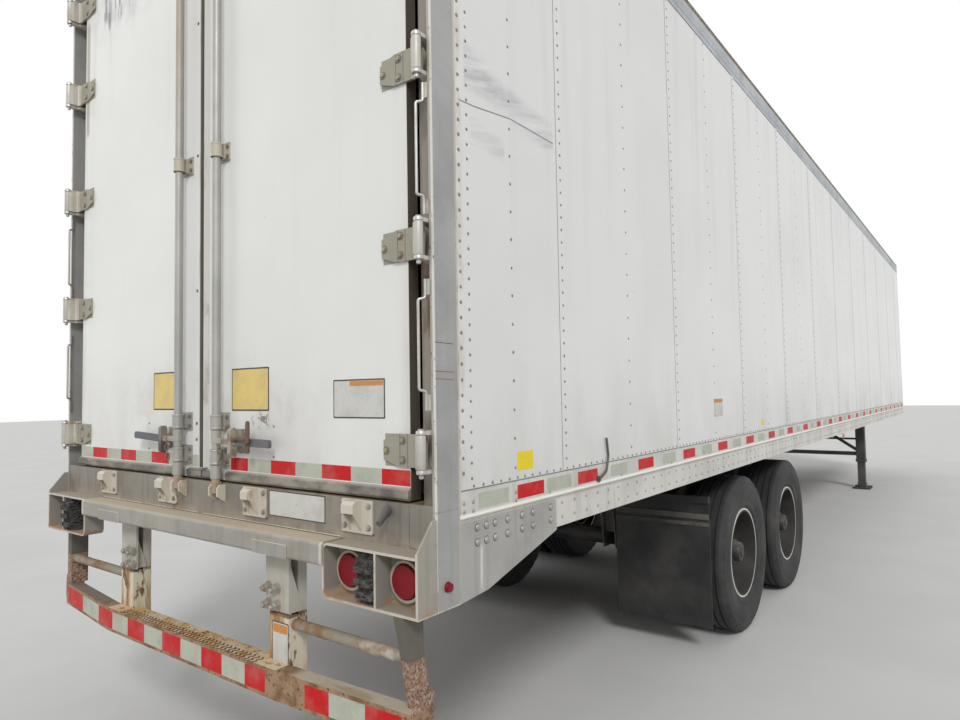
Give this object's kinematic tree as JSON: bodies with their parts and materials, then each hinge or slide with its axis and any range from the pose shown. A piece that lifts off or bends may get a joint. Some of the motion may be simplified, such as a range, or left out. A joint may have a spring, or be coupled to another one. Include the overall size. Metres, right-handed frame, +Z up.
{
  "type": "semi trailer",
  "caption": "White box semi trailer with twin rear doors, tandem twin wheels, landing legs and an underride guard.",
  "frame": {"origin": "centre of the trailer's bounding box on the ground", "axes": "+X forward to the nose with the kingpin, +Y to the trailer's left, +Z up"},
  "size_m": [13.8654, 2.614, 4.02],
  "materials": {
    "white_sheet": "satin",
    "rail_aluminium": "satin",
    "galvanised": "satin",
    "cream_steel": "satin",
    "black_steel": "satin",
    "rim_paint": "satin",
    "tyre_rubber": "matte",
    "black_rubber": "matte",
    "floor_wood": "matte",
    "red_lens": "gloss",
    "amber_lens": "gloss",
    "bright_steel": "satin"
  },
  "bodies": {
    "trailer": {"side_wall_right": "white_sheet", "side_wall_left": "white_sheet", "front_wall": "white_sheet", "floor": "floor_wood", "cross_members": "galvanised", "bottom_rails": "rail_aluminium", "top_rails": "rail_aluminium", "roof": "white_sheet", "rear_post_right": "galvanised", "rear_post_left": "galvanised", "rear_header": "galvanised", "rear_sill": "galvanised", "bumper_shelf": "cream_steel", "red_lamps": "red_lens", "amber_lamps": "amber_lens", "dock_bumpers": "black_rubber", "underride_guard": "cream_steel", "corner_plates": "bright_steel", "post_rods": "bright_steel", "door_holdbacks": "bright_steel", "hinge_butts": "cream_steel", "axle_rear": "black_steel", "axle_front": "black_steel", "springs": "black_steel", "slider_rails": "black_steel", "bogie_frame": "black_steel", "air_tank": "black_steel", "mud_flaps": "black_rubber", "coupler_plate": "black_steel", "kingpin": "bright_steel", "landing_leg_right": "black_steel", "landing_leg_left": "black_steel", "landing_brace": "black_steel", "air_couplings": "bright_steel"},
    "door_right_body": {"door_right": "white_sheet", "hinge_straps_right": "cream_steel", "lock_rod_right": "galvanised", "door_seal_right": "black_rubber"},
    "door_left_body": {"door_left": "white_sheet", "hinge_straps_left": "cream_steel", "lock_rod_left": "galvanised", "door_seal_left": "black_rubber"},
    "wheel_rear_right": {"tyres_rear_right": "tyre_rubber", "wheels_rear_right": "rim_paint"},
    "wheel_rear_left": {"tyres_rear_left": "tyre_rubber", "wheels_rear_left": "rim_paint"},
    "wheel_front_right": {"tyres_front_right": "tyre_rubber", "wheels_front_right": "rim_paint"},
    "wheel_front_left": {"tyres_front_left": "tyre_rubber", "wheels_front_left": "rim_paint"}
  },
  "joints": [
    {"name": "door_right_hinge", "type": "hinge", "parent": "trailer", "child": "door_right_body", "pos_m": [-6.85835, -1.262, 2.6], "axis": [0, 0, 1], "range_deg": [0, 265]},
    {"name": "door_left_hinge", "type": "hinge", "parent": "trailer", "child": "door_left_body", "pos_m": [-6.85835, 1.262, 2.6], "axis": [0, 0, -1], "range_deg": [0, 265]},
    {"name": "wheel_rear_right_spin", "type": "hinge", "parent": "trailer", "child": "wheel_rear_right", "pos_m": [-3.54335, -0.9615, 0.52], "axis": [0, 1, 0], "continuous": true},
    {"name": "wheel_rear_left_spin", "type": "hinge", "parent": "trailer", "child": "wheel_rear_left", "pos_m": [-3.54335, 0.9615, 0.52], "axis": [0, 1, 0], "continuous": true},
    {"name": "wheel_front_right_spin", "type": "hinge", "parent": "trailer", "child": "wheel_front_right", "pos_m": [-2.29835, -0.9615, 0.52], "axis": [0, 1, 0], "continuous": true},
    {"name": "wheel_front_left_spin", "type": "hinge", "parent": "trailer", "child": "wheel_front_left", "pos_m": [-2.29835, 0.9615, 0.52], "axis": [0, 1, 0], "continuous": true}
  ]
}
